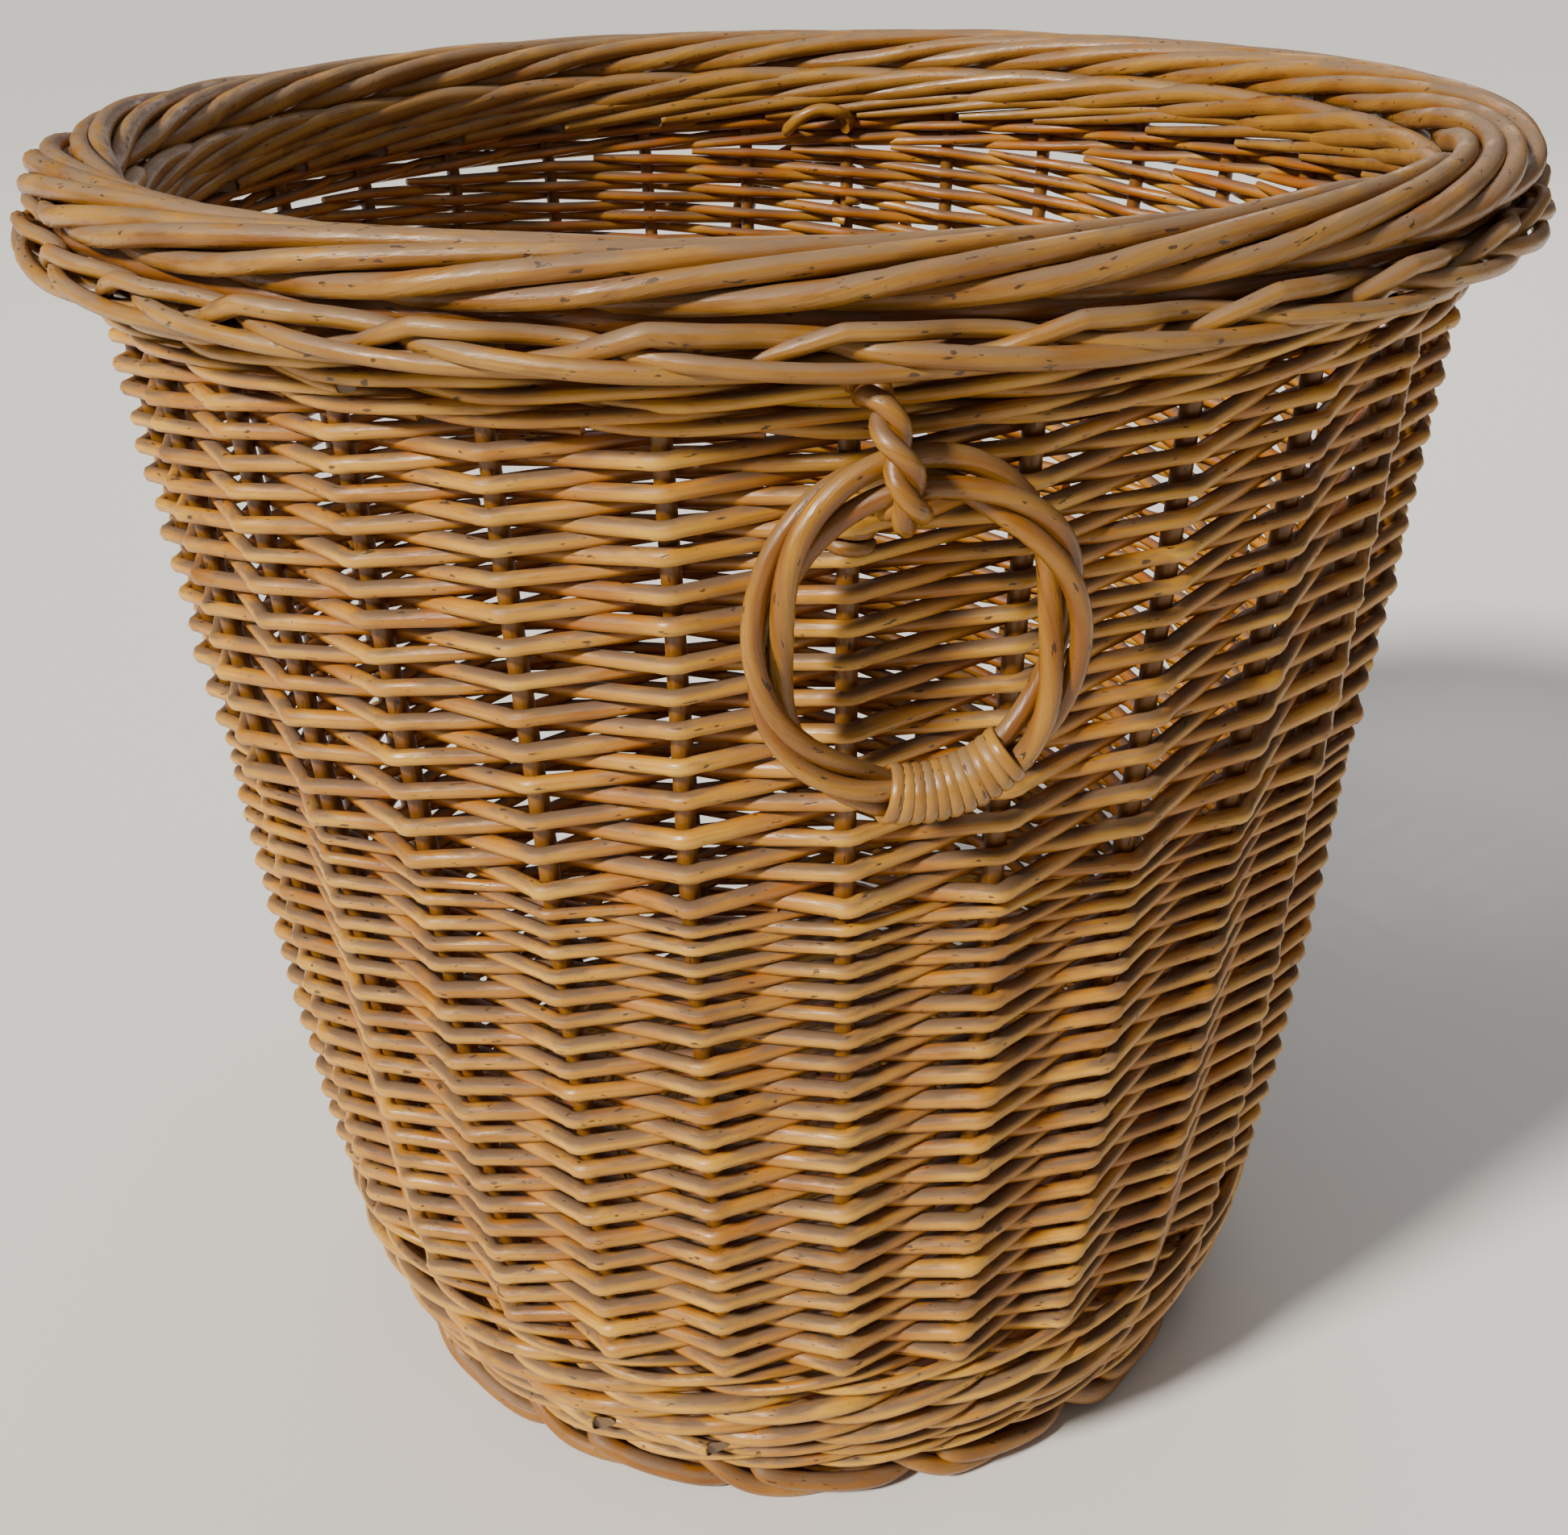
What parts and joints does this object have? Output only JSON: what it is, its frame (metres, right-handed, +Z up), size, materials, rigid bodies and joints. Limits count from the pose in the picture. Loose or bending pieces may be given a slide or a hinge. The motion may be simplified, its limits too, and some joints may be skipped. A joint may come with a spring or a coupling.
{
  "type": "woven wicker basket",
  "caption": "Round tapered willow basket with woven walls, a rolled and plaited rim, a raised foot and two hanging ring handles.",
  "frame": {"origin": "on the floor at the middle of the foot", "axes": "+Z up; -Y to the front ring handle's side, 6 degrees short of it; +X to the right seen from the front"},
  "size_m": [0.3796, 0.38, 0.3594],
  "materials": {
    "stake_willow": "dark weathered willow, satin",
    "weaver_willow": "golden buff willow, satin with dust on its upper sides",
    "border_willow": "paler worn buff willow, satin",
    "base_willow": "buff willow, matt",
    "ring_willow": "golden willow, varnished gloss",
    "skein": "split willow skein, varnished gloss"
  },
  "bodies": {
    "basket": {"foot_border": "border_willow", "base_weave": "base_willow", "base_stick_slit_0": "base_willow", "base_stick_slit_1": "base_willow", "base_stick_slit_2": "base_willow", "base_stick_slit_3": "base_willow", "base_stick_threaded_0": "base_willow", "base_stick_threaded_1": "base_willow", "base_stick_threaded_2": "base_willow", "base_stick_threaded_3": "base_willow", "upsett_wale": "weaver_willow", "stake_00": "stake_willow", "stake_01": "stake_willow", "stake_02": "stake_willow", "stake_03": "stake_willow", "stake_04": "stake_willow", "stake_05": "stake_willow", "stake_06": "stake_willow", "stake_07": "stake_willow", "stake_08": "stake_willow", "stake_09": "stake_willow", "stake_10": "stake_willow", "stake_11": "stake_willow", "stake_12": "stake_willow", "stake_13": "stake_willow", "stake_14": "stake_willow", "stake_15": "stake_willow", "stake_16": "stake_willow", "stake_17": "stake_willow", "stake_18": "stake_willow", "stake_19": "stake_willow", "stake_20": "stake_willow", "stake_21": "stake_willow", "stake_22": "stake_willow", "stake_23": "stake_willow", "stake_24": "stake_willow", "stake_25": "stake_willow", "stake_26": "stake_willow", "stake_27": "stake_willow", "stake_28": "stake_willow", "stake_29": "stake_willow", "lower_weave": "weaver_willow", "upper_weave": "weaver_willow", "top_wale": "weaver_willow", "border_trac": "border_willow", "border_roll": "border_willow", "border_tails": "border_willow", "front_ring_tie": "ring_willow", "back_ring_tie": "ring_willow"},
    "front_ring": {"front_ring": "ring_willow", "front_ring_binding": "skein"},
    "back_ring": {"back_ring": "ring_willow", "back_ring_binding": "skein"}
  },
  "joints": [
    {"name": "front_ring_swing", "type": "hinge", "parent": "basket", "child": "front_ring", "pos_m": [0.01887, -0.17951, 0.3182], "axis": [-0.9945, -0.1045, 0], "range_deg": [-4, 135]},
    {"name": "back_ring_swing", "type": "hinge", "parent": "basket", "child": "back_ring", "pos_m": [0.01887, 0.17951, 0.3182], "axis": [0.9945, -0.1045, 0], "range_deg": [-4, 135]}
  ]
}
